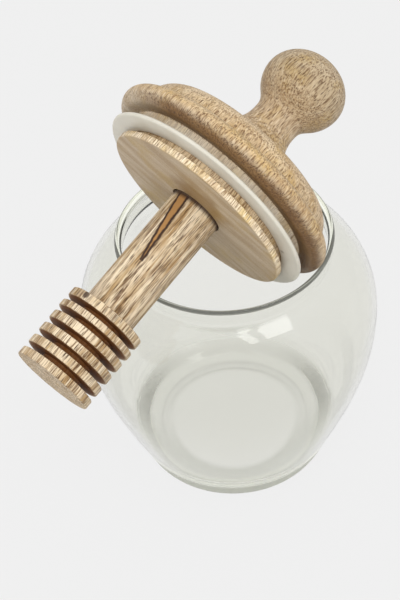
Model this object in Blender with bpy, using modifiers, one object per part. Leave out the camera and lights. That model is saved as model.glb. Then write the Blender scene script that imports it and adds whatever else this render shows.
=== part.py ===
"""A clear blown-glass honey jar whose turned wooden lid, with its fixed honey dipper, leans in the open mouth.

The jar stands on its base at the origin. The lid, its soft seal and the dipper share one empty, because they come
off together: the empty sits at the middle of the plug's face, and its +Z runs through the lid to the knob.
"""
import math

import bpy
from mathutils import Vector

MM = 0.001

# Glass jar, all radii from the jar's own axis
JAR_HEIGHT = 120.9 * MM
BASE_RADIUS = 37.2 * MM
HEEL_ROUND = 5.0 * MM
HEEL_ANGLE = math.radians(22)
BELLY_RADIUS = 62.9 * MM
BELLY_HEIGHT = 78.0 * MM
BELLY_FULLNESS = 22.5 * MM
HEEL_FULLNESS = 36.0 * MM
SHOULDER_WIDTH = 24.9 * MM
SHOULDER_RISE = 34.5 * MM
COLLAR_RADIUS = 43.9 * MM
COLLAR_FOOT = 111.7 * MM
LIP_RADIUS = 45.0 * MM
LIP_ROUND = 0.95 * MM
WALL = 2.0 * MM
COLLAR_WALL = 1.7 * MM
FLOOR_THICKNESS = 5.0 * MM
FLOOR_ROUND = 9.0 * MM

# Turned lid, heights measured from the plug's face towards the knob
PLUG_RADIUS = 41.5 * MM
PLUG_EDGE = 3.0 * MM
PLUG_ROUND = 0.5 * MM
GROOVE_RADIUS = 38.4 * MM
GROOVE_END = 9.2 * MM
BAND_RADIUS = 41.8 * MM
VALLEY_RADIUS = 42.9 * MM
VALLEY_HEIGHT = 13.7 * MM
BEAD_CENTRE = (46.8 * MM, 16.4 * MM)
BEAD_ROUND = 4.7 * MM
DOME_CENTRE = (35.5 * MM, 21.7 * MM)
DOME_ROUND = 9.1 * MM
NECK_FOOT = (24.0 * MM, 32.2 * MM)
WAIST_RADIUS = 10.1 * MM
WAIST_HEIGHT = 48.5 * MM
KNOB_RADIUS = 17.9 * MM
KNOB_HEIGHT = 66.8 * MM
KNOB_TOP_RISE = 15.2 * MM
KNOB_UNDERSIDE = 16.4 * MM

# Soft seal, a dished washer that sits in the lid's groove
SEAL_RADIUS = 47.8 * MM
SEAL_BORE = 39.0 * MM
SEAL_HEIGHT = 4.7 * MM
SEAL_DISH = 0.4 * MM
SEAL_THICKNESS = 1.8 * MM

# Honey dipper, one turned rod glued into the plug
ROD_RADIUS = 11.1 * MM
SOCKET_DEPTH = 14.0 * MM
DIPPER_REACH = 88.25 * MM
DISC_RADIUS = 17.0 * MM
DISC_COUNT = 6
DISC_THICKNESS = 3.55 * MM
THIN_DISC = 4
THIN_DISC_THICKNESS = 2.8 * MM
SLOT_WIDTH = 2.6 * MM
CORE_RADIUS = 9.0 * MM

# How the lid leans in the mouth, each as (heading, lean): heading is turned from -Y towards -X, lean is below
# the horizontal. The rod and the soft seal both sit a little off the lid's own axis.
PLUG_CENTRE = (-10.9 * MM, -9.95 * MM, 144.0 * MM)
LID_DIRECTION = (math.radians(47.6), math.radians(18.7))
ROD_DIRECTION = (math.radians(46.3), math.radians(20.2))
SEAL_DIRECTION = (math.radians(46.2), math.radians(17.5))

GAP = 0.3 * MM

GLASS_STEPS = 48
LID_STEPS = 40
ROD_STEPS = 28


def arc(centre, radius, start, end, count, rise=None):
    """Points on an arc from one angle in degrees to another; rise makes it an ellipse's."""
    rise = radius if rise is None else rise
    points = []
    for step in range(count + 1):
        angle = math.radians(start + (end - start) * step / count)
        points.append((centre[0] + radius * math.cos(angle), centre[1] + rise * math.sin(angle)))
    return points


def bezier(p0, p1, p2, p3, count):
    """Points on a cubic curve, without its two ends."""
    points = []
    for step in range(1, count):
        t = step / count
        s = 1 - t
        weights = (s * s * s, 3 * s * s * t, 3 * s * t * t, t * t * t)
        points.append(tuple(sum(w * p[i] for w, p in zip(weights, (p0, p1, p2, p3))) for i in (0, 1)))
    return points


def inset(points, thickness):
    """The outer line, which runs from top to bottom, moved inwards by the wall's thickness."""
    moved = []
    for i, point in enumerate(points):
        before, after = points[max(i - 1, 0)], points[min(i + 1, len(points) - 1)]
        along = Vector(after) - Vector(before)
        across = Vector((along.y, -along.x)).normalized()
        moved.append((point[0] + across.x * thickness, point[1] + across.y * thickness))
    return moved


def crossing(centre, radius, other, other_radius):
    """Where two circles of the section cross, the point further up and out."""
    between = Vector(other) - Vector(centre)
    along = (radius ** 2 - other_radius ** 2 + between.length_squared) / (2 * between.length)
    across = math.sqrt(radius ** 2 - along ** 2)
    unit = between.normalized()
    return Vector(centre) + unit * along + Vector((-unit.y, unit.x)) * across


def angle_of(point, centre):
    """The direction of a point from a circle's centre, in degrees."""
    return math.degrees(math.atan2(point[1] - centre[1], point[0] - centre[0]))


def material(name, colour, roughness, transmission=0.0):
    """A Principled BSDF with the piece's colour, roughness and clearness."""
    made = bpy.data.materials.new(name)
    made.use_nodes = True
    shader = made.node_tree.nodes["Principled BSDF"]
    shader.inputs["Base Color"].default_value = (*colour, 1.0)
    shader.inputs["Roughness"].default_value = roughness
    shader.inputs["Metallic"].default_value = 0.0
    shader.inputs["Transmission Weight"].default_value = transmission
    made.diffuse_color = (*colour, 1.0)
    return made


def turned(name, profile, steps, finish, collection, parent=None):
    """A turned solid: the profile, from its top down its outer side, spun round the object's Z axis."""
    mesh = bpy.data.meshes.new(name)
    mesh.from_pydata([(r, 0.0, h) for r, h in profile], [(i, i + 1) for i in range(len(profile) - 1)], [])
    piece = bpy.data.objects.new(name, mesh)
    collection.objects.link(piece)
    piece.parent = parent
    spin = piece.modifiers.new("Turning", "SCREW")
    spin.axis = "Z"
    spin.angle = math.tau
    spin.steps = spin.render_steps = steps
    spin.use_merge_vertices = True
    spin.merge_threshold = 0.00001
    spin.use_smooth_shade = True
    mesh.materials.append(finish)
    return piece


def facing(direction):
    """The turn that points a piece's -Z along a heading and a lean, so that its +Z runs towards the knob."""
    heading, lean = direction
    knobward = Vector((math.sin(heading) * math.cos(lean), math.cos(heading) * math.cos(lean), math.sin(lean)))
    return knobward.to_track_quat("Z", "Y")


def jar_profile():
    """The closed outline of the glass, from the middle of the inside floor, over the lip, to the outside floor."""
    heel_start = -math.degrees(HEEL_ANGLE)
    heel = arc((BASE_RADIUS, HEEL_ROUND), HEEL_ROUND, heel_start, -90, 4)
    belly = (BELLY_RADIUS, BELLY_HEIGHT)
    wall_foot = heel[0]
    lean = Vector((math.sin(HEEL_ANGLE), math.cos(HEEL_ANGLE))) * HEEL_FULLNESS
    lower = bezier(belly, (BELLY_RADIUS, BELLY_HEIGHT - BELLY_FULLNESS),
                   (wall_foot[0] + lean.x, wall_foot[1] + lean.y), wall_foot, 8)
    middle = BELLY_RADIUS - SHOULDER_WIDTH
    top_angle = math.degrees(math.acos((COLLAR_RADIUS + 1.6 * MM - middle) / SHOULDER_WIDTH))
    shoulder = arc((middle, BELLY_HEIGHT), SHOULDER_WIDTH, top_angle, 0, 7, SHOULDER_RISE)
    collar = [(LIP_RADIUS, JAR_HEIGHT - LIP_ROUND), (COLLAR_RADIUS, JAR_HEIGHT - 3.2 * LIP_ROUND),
              (COLLAR_RADIUS, COLLAR_FOOT)]
    outside = collar + shoulder + lower
    inner_collar = COLLAR_RADIUS - COLLAR_WALL
    lip = arc((LIP_RADIUS - LIP_ROUND, JAR_HEIGHT - LIP_ROUND), LIP_ROUND, 180, 0, 6)
    inner_wall = inset(shoulder + lower, WALL)
    inside = [(r, h) for r, h in inner_wall if h > FLOOR_THICKNESS + 0.6 * FLOOR_ROUND]
    floor_arc = arc((BASE_RADIUS - FLOOR_ROUND + 1.2 * MM, FLOOR_THICKNESS + FLOOR_ROUND), FLOOR_ROUND, -90, -28, 4)
    hollow = ([(0.0, FLOOR_THICKNESS)] + floor_arc + list(reversed(inside))
              + [(inner_collar, COLLAR_FOOT - 0.6 * MM), (inner_collar, JAR_HEIGHT - 3.2 * LIP_ROUND)])
    return hollow + lip[:-1] + outside + heel + [(0.0, 0.0)]


def lid_profile():
    """The lid's outline from the knob's top, down its outer side, to the middle of the plug's face."""
    knob_middle = (0.0, KNOB_HEIGHT)
    top = arc(knob_middle, KNOB_RADIUS, 90, 0, 6, KNOB_TOP_RISE)
    under = arc(knob_middle, KNOB_RADIUS, 0, -40, 3, KNOB_UNDERSIDE)[1:]
    joint = under[-1]
    throat = bezier(joint, (joint[0] - 3.2 * MM, joint[1] - 3.4 * MM),
                    (WAIST_RADIUS, WAIST_HEIGHT + 3.4 * MM), (WAIST_RADIUS, WAIST_HEIGHT), 3)
    flare = bezier((WAIST_RADIUS, WAIST_HEIGHT), (WAIST_RADIUS, WAIST_HEIGHT - 8 * MM),
                   (NECK_FOOT[0] - 11 * MM, NECK_FOOT[1] + 1.6 * MM), NECK_FOOT, 5)
    notch = crossing(DOME_CENTRE, DOME_ROUND, BEAD_CENTRE, BEAD_ROUND)
    dome = arc(DOME_CENTRE, DOME_ROUND, 82, angle_of(notch, DOME_CENTRE), 6)
    bead = arc(BEAD_CENTRE, BEAD_ROUND, angle_of(notch, BEAD_CENTRE), -138, 9)[1:]
    valley = [(VALLEY_RADIUS, VALLEY_HEIGHT), (BAND_RADIUS, VALLEY_HEIGHT - 1.4 * MM)]
    groove = [(BAND_RADIUS, GROOVE_END), (GROOVE_RADIUS, GROOVE_END), (GROOVE_RADIUS, PLUG_EDGE),
              (PLUG_RADIUS - PLUG_ROUND, PLUG_EDGE), (PLUG_RADIUS, PLUG_EDGE - PLUG_ROUND)]
    face = [(PLUG_RADIUS, PLUG_ROUND), (PLUG_RADIUS - PLUG_ROUND, 0.0), (0.0, 0.0)]
    top[0] = (0.0, top[0][1])
    waist = [(WAIST_RADIUS, WAIST_HEIGHT)]
    return top + under + throat + waist + flare + [NECK_FOOT] + dome + bead + valley + groove + face


def seal_profile():
    """The seal's closed section: a flat web that leans towards the knob out to a rounded edge."""
    rear = SEAL_HEIGHT + SEAL_THICKNESS
    edge = SEAL_RADIUS - SEAL_THICKNESS / 2
    front, back = SEAL_HEIGHT + SEAL_DISH, rear + SEAL_DISH
    tip = arc((edge, (front + back) / 2), SEAL_THICKNESS / 2, 80, -80, 4)
    return [(SEAL_BORE, rear)] + tip + [(SEAL_BORE, SEAL_HEIGHT), (SEAL_BORE, rear)]


def dipper_profile():
    """The dipper's outline from its glued end, along the rod and over the discs, to its flat tip."""
    tip_up = [(0.0, -DIPPER_REACH)]
    height = -DIPPER_REACH
    for disc in range(DISC_COUNT):
        top = height + (THIN_DISC_THICKNESS if disc == THIN_DISC else DISC_THICKNESS)
        inner = ROD_RADIUS if disc == DISC_COUNT - 1 else CORE_RADIUS
        tip_up += [(DISC_RADIUS, height), (DISC_RADIUS, top), (inner, top)]
        height = top + SLOT_WIDTH
        if disc < DISC_COUNT - 1:
            tip_up.append((CORE_RADIUS, height))
    glued_end = [(0.0, SOCKET_DEPTH - GAP), (ROD_RADIUS, SOCKET_DEPTH - GAP)]
    return glued_end + list(reversed(tip_up))


def build():
    """Models the jar and, on one empty, the lid with its seal and dipper."""
    for old in list(bpy.data.objects):
        bpy.data.objects.remove(old)
    honey_jar = bpy.data.collections.new("honey_jar")
    cutters = bpy.data.collections.new("cutters")
    for group in (honey_jar, cutters):
        bpy.context.scene.collection.children.link(group)

    clear_glass = material("clear_glass", (0.93, 0.95, 0.93), 0.02, 1.0)
    mango_wood = material("mango_wood", (0.47, 0.34, 0.22), 0.55)
    silicone = material("silicone", (0.72, 0.70, 0.64), 0.45)

    turned("glass_jar", jar_profile(), GLASS_STEPS, clear_glass, honey_jar)

    seat = bpy.data.objects.new("lid_seat", None)
    honey_jar.objects.link(seat)
    seat.location = PLUG_CENTRE
    seat.rotation_mode = "QUATERNION"
    seat.rotation_quaternion = facing(LID_DIRECTION)

    lid = turned("lid_wood", lid_profile(), LID_STEPS, mango_wood, honey_jar, seat)
    seal = turned("seal_ring", seal_profile(), LID_STEPS, silicone, honey_jar, seat)
    dipper = turned("dipper_rod", dipper_profile(), ROD_STEPS, mango_wood, honey_jar, seat)

    bore = [(0.0, SOCKET_DEPTH), (ROD_RADIUS + GAP, SOCKET_DEPTH),
            (ROD_RADIUS + GAP, -SOCKET_DEPTH), (0.0, -SOCKET_DEPTH)]
    socket = turned("socket_cutter", bore, ROD_STEPS, mango_wood, cutters, seat)
    for piece, towards in ((seal, SEAL_DIRECTION), (dipper, ROD_DIRECTION), (socket, ROD_DIRECTION)):
        piece.rotation_mode = "QUATERNION"
        piece.rotation_quaternion = facing(LID_DIRECTION).inverted() @ facing(towards)
    socket.hide_render = True
    socket.display_type = "WIRE"
    cut = lid.modifiers.new("Socket", "BOOLEAN")
    cut.operation = "DIFFERENCE"
    cut.object = socket


build()
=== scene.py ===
"""Looks of a clear glass honey jar whose turned mango-wood lid leans in its mouth, with its honey dipper.

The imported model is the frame. Every piece here is turned from its own section by one geometry tree, set at
its lean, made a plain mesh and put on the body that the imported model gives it. All lengths are in metres.
"""
from __future__ import annotations

import logging
import math
from dataclasses import dataclass, field
from enum import Enum

import bpy
from mathutils import Euler, Matrix, Vector

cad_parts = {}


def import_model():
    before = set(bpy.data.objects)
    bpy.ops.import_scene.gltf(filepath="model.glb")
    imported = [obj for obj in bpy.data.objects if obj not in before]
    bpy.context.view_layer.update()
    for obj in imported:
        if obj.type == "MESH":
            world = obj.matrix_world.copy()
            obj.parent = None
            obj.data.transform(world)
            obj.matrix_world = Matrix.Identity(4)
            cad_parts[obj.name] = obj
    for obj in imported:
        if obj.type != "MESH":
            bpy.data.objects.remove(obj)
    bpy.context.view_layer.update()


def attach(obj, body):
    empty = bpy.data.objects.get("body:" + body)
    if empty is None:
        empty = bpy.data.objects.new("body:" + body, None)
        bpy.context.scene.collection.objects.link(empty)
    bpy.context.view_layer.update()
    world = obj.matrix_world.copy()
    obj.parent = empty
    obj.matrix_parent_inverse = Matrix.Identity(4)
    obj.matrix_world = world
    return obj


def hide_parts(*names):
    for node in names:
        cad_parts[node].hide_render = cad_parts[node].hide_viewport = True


MM = 0.001
IMAGE_HEIGHT_PX = 600
SENSOR_MM = 36.0
HUB_RADIUS = 50 * MM
WELD_DISTANCE = 0.002 * MM
Point = tuple[float, float]
Triple = tuple[float, float, float]
Colour = tuple[float, float, float, float]
Tree = bpy.types.NodeTree
Socket = bpy.types.NodeSocket
Piece = bpy.types.Object
Inputs = dict[str | int, object]
LOG = logging.getLogger("honey_jar")


class Sheen(Enum):
    """How a wooden piece was finished, as the roughness of its smooth wood and of its pores."""

    OILED = (0.46, 0.62)
    BARE = (0.58, 0.70)


def srgb(code: str) -> Colour:
    """Turns an sRGB hex colour into the linear colour that the shaders use.

    Args:
        code: six hex digits, such as "d9c2a0".

    Returns:
        Red, green, blue and alpha, linear.
    """
    shares = [int(code[i:i + 2], 16) / 255 for i in (0, 2, 4)]
    linear = [s / 12.92 if s <= 0.04045 else ((s + 0.055) / 1.055) ** 2.4 for s in shares]
    return (*linear, 1.0)


def add(tree: Tree, kind: str, inputs: Inputs | None = None, **settings: object) -> bpy.types.Node:
    """Adds one node, sets its properties, and gives each named input a value or a link.

    Args:
        tree: the tree that the node goes into.
        kind: the node's type, such as "ShaderNodeMix".
        inputs: an input's identifier, name or number, with a value, a socket, or a node, whose first output
            is used.
        settings: the node's own properties.

    Returns:
        The new node.
    """
    node = tree.nodes.new(kind)
    for name, value in settings.items():
        setattr(node, name, value)
    for key, value in (inputs or {}).items():
        named = [s for s in node.inputs if s.identifier == key]
        socket = named[0] if named else node.inputs[key]
        for one in value if isinstance(value, list) else [value]:
            if isinstance(one, bpy.types.Node):
                tree.links.new(one.outputs[0], socket)
            elif isinstance(one, Socket):
                tree.links.new(one, socket)
            else:
                socket.default_value = one
    return node


def ramp(node: bpy.types.Node, stops: list[tuple[float, Colour]]) -> bpy.types.Node:
    """Sets a colour ramp's stops.

    Args:
        node: the ramp's node.
        stops: position and linear colour of each stop, in order.

    Returns:
        The same node.
    """
    elements = node.color_ramp.elements
    while len(elements) > 1:
        elements.remove(elements[0])
    elements[0].position, elements[0].color = stops[0]
    for position, colour in stops[1:]:
        elements.new(position).color = colour
    return node


@dataclass(frozen=True)
class Lean:
    """Where a turned piece stands and which way it leans.

    The heading is turned from -Y towards -X and the lean is below the horizontal. The piece's own +Z runs
    from the plug's face to the knob.
    """

    heading: float = 0.0
    lean: float = 90.0
    seat: Triple = (0.0, 0.0, 0.0)

    def turn(self) -> Euler:
        """Gives the piece's turn as Euler angles."""
        return Euler((math.radians(90 - self.lean), 0.0, math.radians(180 - self.heading)))

    def matrix(self) -> Matrix:
        """Gives the matrix that puts the piece in its place."""
        return Matrix.Translation(Vector(self.seat)) @ self.turn().to_matrix().to_4x4()


UPRIGHT = Lean(180.0, 90.0)
PLUG_CENTRE = (-10.9 * MM, -9.95 * MM, 144.0 * MM)
LID_LEAN = Lean(47.6, 18.7, PLUG_CENTRE)
ROD_LEAN = Lean(46.3, 20.2, PLUG_CENTRE)
SEAL_LEAN = Lean(46.2, 17.5, PLUG_CENTRE)


@dataclass
class Outline:
    """The section of a turned piece, drawn point by point as radius and height."""

    points: list[Point] = field(default_factory=list)

    def to(self, *points: Point) -> Outline:
        """Runs the outline straight on through the given points."""
        self.points += [tuple(p) for p in points]
        return self

    def arc(self, centre: Point, radius: float, start: float, end: float, count: int,
            rise: float | None = None) -> Outline:
        """Runs the outline along an arc.

        Args:
            centre: the arc's centre.
            radius: its radius, or its half width where rise is given.
            start: the first angle, in degrees.
            end: the last angle, in degrees.
            count: how many steps the arc takes.
            rise: the half height of an ellipse.

        Returns:
            The outline itself.
        """
        high = radius if rise is None else rise
        for step in range(count + 1):
            angle = math.radians(start + (end - start) * step / count)
            self.points.append((centre[0] + radius * math.cos(angle), centre[1] + high * math.sin(angle)))
        return self

    def curve(self, first: Point, second: Point, end: Point, count: int) -> Outline:
        """Runs the outline along a cubic curve from where it has got to.

        Args:
            first: the handle of the curve's start.
            second: the handle of its end.
            end: the point it ends on.
            count: how many steps it takes.

        Returns:
            The outline itself.
        """
        start = self.points[-1]
        for step in range(1, count + 1):
            t = step / count
            s = 1 - t
            weights = (s ** 3, 3 * s * s * t, 3 * s * t * t, t ** 3)
            handles = (start, first, second, end)
            self.points.append(tuple(sum(w * p[i] for w, p in zip(weights, handles)) for i in (0, 1)))
        return self

    def corner(self, at: Point, towards: Point, radius: float, count: int = 4) -> Outline:
        """Runs the outline up to a corner and rounds it off.

        Args:
            at: where the sharp corner would be.
            towards: a point further on along the outline.
            radius: how far from the corner the rounding starts.
            count: how many steps the rounding takes.

        Returns:
            The outline itself.
        """
        corner = Vector(at)
        back = (Vector(self.points[-1]) - corner).normalized() * radius
        on = (Vector(towards) - corner).normalized() * radius
        self.points.append(tuple(corner + back))
        return self.curve(tuple(corner + back * 0.45), tuple(corner + on * 0.45), tuple(corner + on), count)

    def held(self, reach: float = 0.3 * MM) -> list[Point]:
        """Adds a point near both ends of each long straight run, so that smooth shading stays flat on it.

        Args:
            reach: how far from the run's ends the points go.

        Returns:
            The finished points, without doubles.
        """
        clean: list[Point] = []
        for point in self.points:
            if not clean or (Vector(point) - Vector(clean[-1])).length > 1e-7:
                clean.append(point)
        out = clean[:1]
        for before, after in zip(clean, clean[1:]):
            run = Vector(after) - Vector(before)
            if run.length > 5 * reach:
                step = run.normalized() * reach
                out += [tuple(Vector(before) + step), tuple(Vector(after) - step)]
            out.append(after)
        return out


def turning_tree() -> Tree:
    """Makes the geometry tree that turns a section into a solid, as a lathe does.

    Returns:
        A tree that takes a section drawn as radius along X and height along Z.
    """
    tree = bpy.data.node_groups.new("turned_form", "GeometryNodeTree")
    for name, kind in (("Section", "NodeSocketGeometry"), ("Steps round", "NodeSocketInt"),
                       ("Hub radius", "NodeSocketFloat"), ("Weld distance", "NodeSocketFloat"),
                       ("Finish", "NodeSocketMaterial")):
        tree.interface.new_socket(name=name, in_out="INPUT", socket_type=kind)
    tree.interface.new_socket(name="Solid", in_out="OUTPUT", socket_type="NodeSocketGeometry")
    given = add(tree, "NodeGroupInput")
    here = add(tree, "ShaderNodeSeparateXYZ", {0: add(tree, "GeometryNodeInputPosition")})
    out = add(tree, "ShaderNodeMath", {0: here.outputs["X"], 1: given.outputs["Hub radius"]},
              operation="SUBTRACT")
    down = add(tree, "ShaderNodeMath", {0: here.outputs["Z"], 1: -1.0}, operation="MULTIPLY")
    flat = add(tree, "GeometryNodeSetPosition", {
        "Geometry": given.outputs["Section"],
        "Position": add(tree, "ShaderNodeCombineXYZ", {"X": out, "Y": down})})
    ring = add(tree, "GeometryNodeCurvePrimitiveCircle", {
        "Resolution": given.outputs["Steps round"], "Radius": given.outputs["Hub radius"]})
    spun = add(tree, "GeometryNodeCurveToMesh", {
        "Curve": ring, "Profile Curve": add(tree, "GeometryNodeMeshToCurve", {"Mesh": flat})})
    welded = add(tree, "GeometryNodeMergeByDistance", {
        "Geometry": spun, "Distance": given.outputs["Weld distance"]})
    smooth = add(tree, "GeometryNodeSetShadeSmooth", {"Geometry": welded})
    real = add(tree, "GeometryNodeRealizeInstances", {"Geometry": smooth})
    dressed = add(tree, "GeometryNodeSetMaterial", {"Geometry": real, "Material": given.outputs["Finish"]})
    add(tree, "NodeGroupOutput", {0: dressed})
    return tree


def ribbing_tree(turning: Tree) -> Tree:
    """Makes the geometry tree of a honey dipper: a turned rod, and discs repeated along its end.

    Args:
        turning: the tree that turns a section.

    Returns:
        A tree that takes the rod's section, and the section of one disc whose lower face is at height 0.
    """
    tree = bpy.data.node_groups.new("ribbed_dipper", "GeometryNodeTree")
    for name, kind in (("Section", "NodeSocketGeometry"), ("Disc section", "NodeSocketObject"),
                       ("Steps round", "NodeSocketInt"), ("Hub radius", "NodeSocketFloat"),
                       ("Weld distance", "NodeSocketFloat"), ("Discs", "NodeSocketInt"),
                       ("Tip height", "NodeSocketFloat"), ("Pitch", "NodeSocketFloat"),
                       ("Thin disc", "NodeSocketInt"), ("Thin share", "NodeSocketFloat"),
                       ("Thin drop", "NodeSocketFloat"), ("Radius spread", "NodeSocketFloat"),
                       ("Seed", "NodeSocketInt"), ("Finish", "NodeSocketMaterial")):
        tree.interface.new_socket(name=name, in_out="INPUT", socket_type=kind)
    tree.interface.new_socket(name="Solid", in_out="OUTPUT", socket_type="NodeSocketGeometry")
    given = add(tree, "NodeGroupInput").outputs
    shared = {name: given[name] for name in ("Steps round", "Hub radius", "Weld distance", "Finish")}
    rod = add(tree, "GeometryNodeGroup", None, node_tree=turning)
    drawn = add(tree, "GeometryNodeObjectInfo", {"Object": given["Disc section"]}).outputs["Geometry"]
    disc = add(tree, "GeometryNodeGroup", None, node_tree=turning)
    for node, section in ((rod, given["Section"]), (disc, drawn)):
        tree.links.new(section, node.inputs["Section"])
        for name, socket in shared.items():
            tree.links.new(socket, node.inputs[name])
    first = add(tree, "ShaderNodeCombineXYZ", {"Z": given["Tip height"]})
    step = add(tree, "ShaderNodeCombineXYZ", {"Z": given["Pitch"]})
    line = add(tree, "GeometryNodeMeshLine", {
        "Count": given["Discs"], "Start Location": first, "Offset": step}, mode="OFFSET", count_mode="TOTAL")
    number = add(tree, "GeometryNodeInputIndex")
    above = add(tree, "FunctionNodeCompare", {"A_INT": number, "B_INT": given["Thin disc"]},
                data_type="INT", operation="GREATER_THAN")
    drop = add(tree, "ShaderNodeMath", {0: above, 1: given["Thin drop"]}, operation="MULTIPLY")
    lower = add(tree, "ShaderNodeMath", {0: drop, 1: -1.0}, operation="MULTIPLY")
    placed = add(tree, "GeometryNodeSetPosition", {
        "Geometry": line, "Offset": add(tree, "ShaderNodeCombineXYZ", {"Z": lower})})
    thin = add(tree, "FunctionNodeCompare", {"A_INT": number, "B_INT": given["Thin disc"]},
               data_type="INT", operation="EQUAL")
    tall = add(tree, "GeometryNodeSwitch", {"Switch": thin, "False": 1.0, "True": given["Thin share"]},
               input_type="FLOAT")
    least = add(tree, "ShaderNodeMath", {0: 1.0, 1: given["Radius spread"]}, operation="SUBTRACT")
    wide = add(tree, "FunctionNodeRandomValue", {"Min_001": least, "Max_001": 1.0, "Seed": given["Seed"]},
               data_type="FLOAT").outputs[1]
    ribs = add(tree, "GeometryNodeInstanceOnPoints", {
        "Points": placed, "Instance": disc,
        "Scale": add(tree, "ShaderNodeCombineXYZ", {"X": wide, "Y": wide, "Z": tall})})
    joined = add(tree, "GeometryNodeJoinGeometry", {"Geometry": [ribs, rod]})
    real = add(tree, "GeometryNodeRealizeInstances", {"Geometry": joined})
    dressed = add(tree, "GeometryNodeSetMaterial", {"Geometry": real, "Material": given["Finish"]})
    add(tree, "NodeGroupOutput", {0: dressed})
    return tree


def drawn(name: str, points: list[Point], closed: bool = False) -> Piece:
    """Draws a section as a line of edges, radius along X and height along Z.

    Args:
        name: the object's name.
        points: the section's points.
        closed: whether the last point joins the first.

    Returns:
        The object that holds the line.
    """
    mesh = bpy.data.meshes.new(name)
    edges = [(i, i + 1) for i in range(len(points) - 1)] + ([(len(points) - 1, 0)] if closed else [])
    mesh.from_pydata([(r, 0.0, h) for r, h in points], edges, [])
    piece = bpy.data.objects.new(name, mesh)
    bpy.context.scene.collection.objects.link(piece)
    return piece


def volume_of(mesh: bpy.types.Mesh) -> float:
    """Gives the signed volume inside a mesh, which is negative where its faces point inwards."""
    mesh.calc_loop_triangles()
    total = 0.0
    for triangle in mesh.loop_triangles:
        a, b, c = (mesh.vertices[i].co for i in triangle.vertices)
        total += a.dot(b.cross(c)) / 6
    return total


def grown(section: Piece, tree: Tree, sizes: dict[str, object], place: Lean) -> Piece:
    """Runs a geometry tree on a section and keeps its result as a plain mesh in its place.

    Args:
        section: the object that holds the section, which is used up.
        tree: the tree that turns it.
        sizes: the value of each of the tree's named inputs.
        place: where the finished piece stands.

    Returns:
        A mesh object at the origin, with its place in its mesh.
    """
    lathe = section.modifiers.new(tree.name, "NODES")
    lathe.node_group = tree
    for item in tree.interface.items_tree:
        if item.in_out == "INPUT" and item.name in sizes:
            lathe[item.identifier] = sizes[item.name]
    section.data.update()
    bpy.context.view_layer.update()
    ready = section.evaluated_get(bpy.context.evaluated_depsgraph_get())
    mesh = bpy.data.meshes.new_from_object(ready)
    section.modifiers.clear()
    name = section.name
    bpy.data.objects.remove(section)
    mesh.name = name
    if volume_of(mesh) < 0:
        mesh.flip_normals()
    mesh.transform(place.matrix())
    piece = bpy.data.objects.new(name, mesh)
    bpy.context.scene.collection.objects.link(piece)
    LOG.info("%s has %d faces and holds %.1f cm3", name, len(mesh.polygons), volume_of(mesh) * 1e6)
    return piece


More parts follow.
